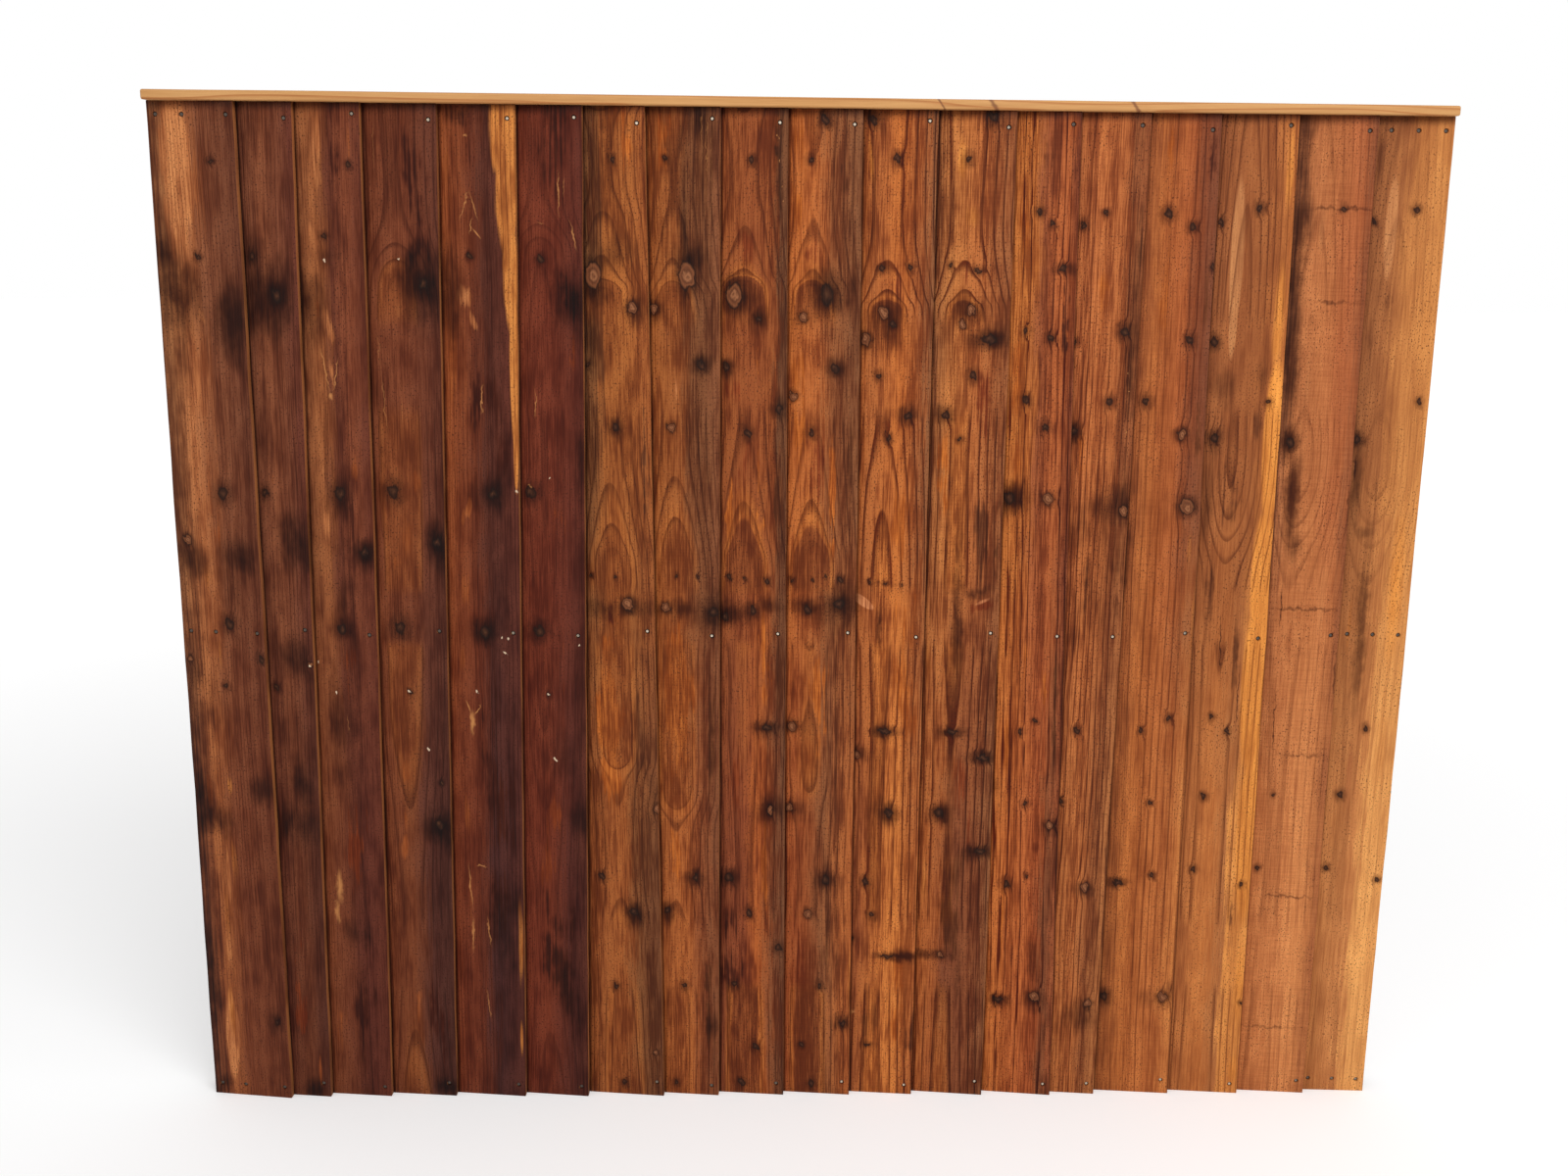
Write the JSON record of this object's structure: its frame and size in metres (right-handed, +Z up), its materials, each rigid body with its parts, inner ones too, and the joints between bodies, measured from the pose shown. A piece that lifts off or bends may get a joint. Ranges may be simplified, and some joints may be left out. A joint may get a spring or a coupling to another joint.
{
  "type": "closeboard fence panel",
  "caption": "Timber closeboard fence panel: upright tapered boards lap one over the next on a batten frame with rails at top, middle and bottom, under a flat capping strip.",
  "frame": {"origin": "middle of the panel's width and thickness, at the level of its base", "axes": "+X along the panel to the right as seen from its front, +Y towards its framed back, +Z up"},
  "size_m": [1.828, 0.0668, 1.524],
  "materials": {
    "board_dark": "dip stained dark red-brown, sawn",
    "board_warm": "dip stained warm brown, sawn",
    "board_pale": "thinly stained golden brown, sawn",
    "frame_batten": "dip stained brown, sawn",
    "capping": "planed, nearly unstained",
    "nail": "galvanised"
  },
  "bodies": {
    "root": {"board_01": "board_dark", "board_02": "board_dark", "board_03": "board_dark", "board_04": "board_dark", "board_05": "board_dark", "board_06": "board_dark", "board_07": "board_warm", "board_08": "board_warm", "board_09": "board_warm", "board_10": "board_warm", "board_11": "board_warm", "board_12": "board_warm", "board_13": "board_warm", "board_14": "board_warm", "board_15": "board_pale", "board_16": "board_pale", "board_17": "board_pale", "board_18": "board_pale", "top_rail": "frame_batten", "middle_rail": "frame_batten", "bottom_rail": "frame_batten", "left_upright": "frame_batten", "right_upright": "frame_batten", "capping": "capping", "top_rail_nails": "nail", "middle_rail_nails": "nail", "bottom_rail_nails": "nail", "frame_nails": "nail", "capping_nails": "nail"}
  },
  "joints": []
}
